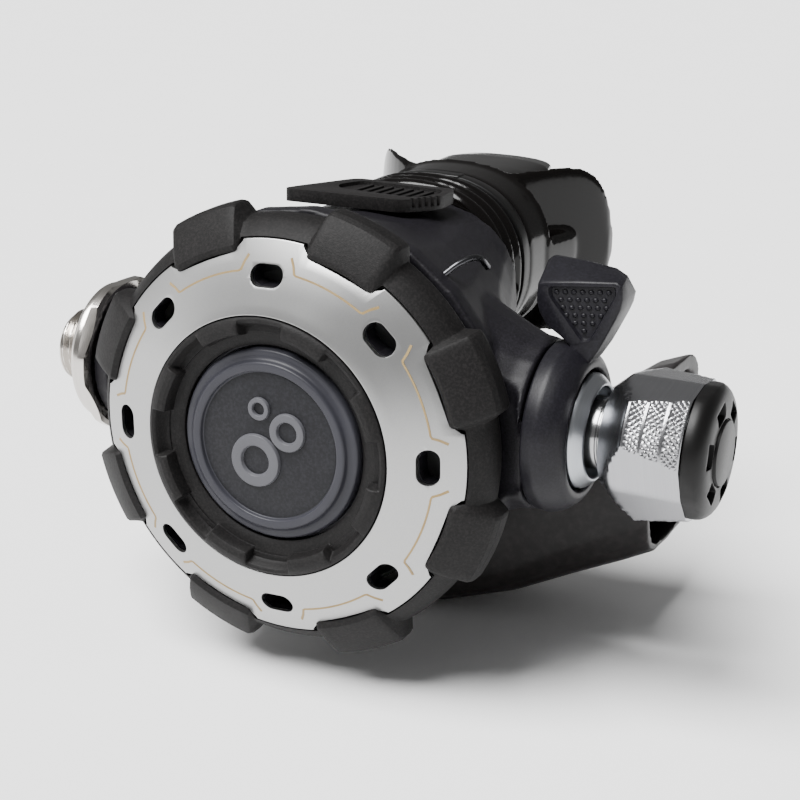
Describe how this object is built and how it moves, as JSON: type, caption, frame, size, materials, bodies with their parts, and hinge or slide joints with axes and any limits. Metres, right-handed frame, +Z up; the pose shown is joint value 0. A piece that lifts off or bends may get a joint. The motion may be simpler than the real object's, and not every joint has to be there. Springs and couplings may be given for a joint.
{
  "type": "scuba regulator second stage",
  "caption": "Diving regulator second stage with a round purge cover, hose inlet nipple, breathing-resistance knob, venturi lever, exhaust tee and rubber mouthpiece.",
  "frame": {"origin": "centre of the inlet nipple's end face, on the valve barrel's axis", "axes": "+X along the valve barrel from the inlet to the knob, +Y back towards the mouthpiece, so the cover faces -Y, and +Z up"},
  "size_m": [0.1329, 0.1123, 0.0878],
  "materials": {
    "black_rubber": "matte grained",
    "black_silicone": "glossy",
    "clear_silicone": "translucent",
    "grey_rubber": "satin",
    "dark_plastic": "fine grained",
    "white_plastic": "matte",
    "blasted_steel": "bead blasted",
    "spring_steel": "drawn wire",
    "turned_aluminium": "turned and knurled",
    "chromed_brass": "chrome plated"
  },
  "bodies": {
    "base": {"case": "dark_plastic", "cover_body": "dark_plastic", "fascia_plate": "blasted_steel", "bumper_ring": "black_rubber", "castellated_ring": "black_rubber", "cover_clip": "spring_steel", "top_pad": "black_rubber", "diaphragm": "clear_silicone", "slip_ring": "white_plastic", "valve_barrel": "chromed_brass", "inlet_nut": "chromed_brass", "orifice": "chromed_brass", "orifice_o_ring": "black_rubber", "barrel_collar": "turned_aluminium", "exhaust_tee": "black_rubber", "exhaust_valve": "clear_silicone", "mouthpiece": "black_silicone", "mouthpiece_clamp": "dark_plastic", "purge_spring": "spring_steel", "poppet_spring": "spring_steel"},
    "balance_slide": {"balance_chamber": "turned_aluminium", "adjuster_o_ring": "black_rubber"},
    "adjuster_knob": {"knob": "turned_aluminium", "knob_cap": "dark_plastic", "knob_screw": "spring_steel", "adjuster_spindle": "turned_aluminium"},
    "venturi": {"venturi_lever": "dark_plastic", "venturi_vane": "dark_plastic"},
    "purge": {"purge_button": "grey_rubber"},
    "plate": {"diaphragm_plate": "blasted_steel"},
    "lever": {"demand_lever": "blasted_steel"},
    "poppet_body": {"poppet": "turned_aluminium", "lp_seat": "black_rubber"}
  },
  "joints": [
    {"name": "adjuster_travel", "type": "slide", "parent": "base", "child": "balance_slide", "axis": [-1, 0, 0], "range_m": [0, 0.002], "deforming": ["poppet_spring"]},
    {"name": "adjuster_turn", "type": "hinge", "parent": "balance_slide", "child": "adjuster_knob", "pos_m": [0.1, 0, 0], "axis": [-1, 0, 0], "range_deg": [0, 720]},
    {"name": "venturi_turn", "type": "hinge", "parent": "base", "child": "venturi", "pos_m": [0.1, 0, 0], "axis": [1, 0, 0], "range_deg": [-40, 25]},
    {"name": "purge_press", "type": "slide", "parent": "base", "child": "purge", "axis": [0, 1, 0], "range_m": [0, 0.002], "stiffness_N_per_m": 800, "springref_m": -0.001, "deforming": ["purge_spring"]},
    {"name": "plate_travel", "type": "slide", "parent": "base", "child": "plate", "axis": [0, 1, 0], "range_m": [0, 0.002]},
    {"name": "demand_lever_turn", "type": "hinge", "parent": "base", "child": "lever", "pos_m": [0.0535, -0.0072, 0], "axis": [0, 0, -1], "range_deg": [0, 11]},
    {"name": "poppet_travel", "type": "slide", "parent": "base", "child": "poppet_body", "axis": [1, 0, 0], "range_m": [0, 0.0005], "deforming": ["poppet_spring"]}
  ],
  "couplings": [
    {"joint": "adjuster_turn", "follows": "adjuster_travel", "rad_per_m": 6283},
    {"joint": "plate_travel", "follows": "purge_press", "ratio": 1},
    {"joint": "demand_lever_turn", "follows": "purge_press", "rad_per_m": 94},
    {"joint": "poppet_travel", "follows": "purge_press", "ratio": 0.225}
  ]
}
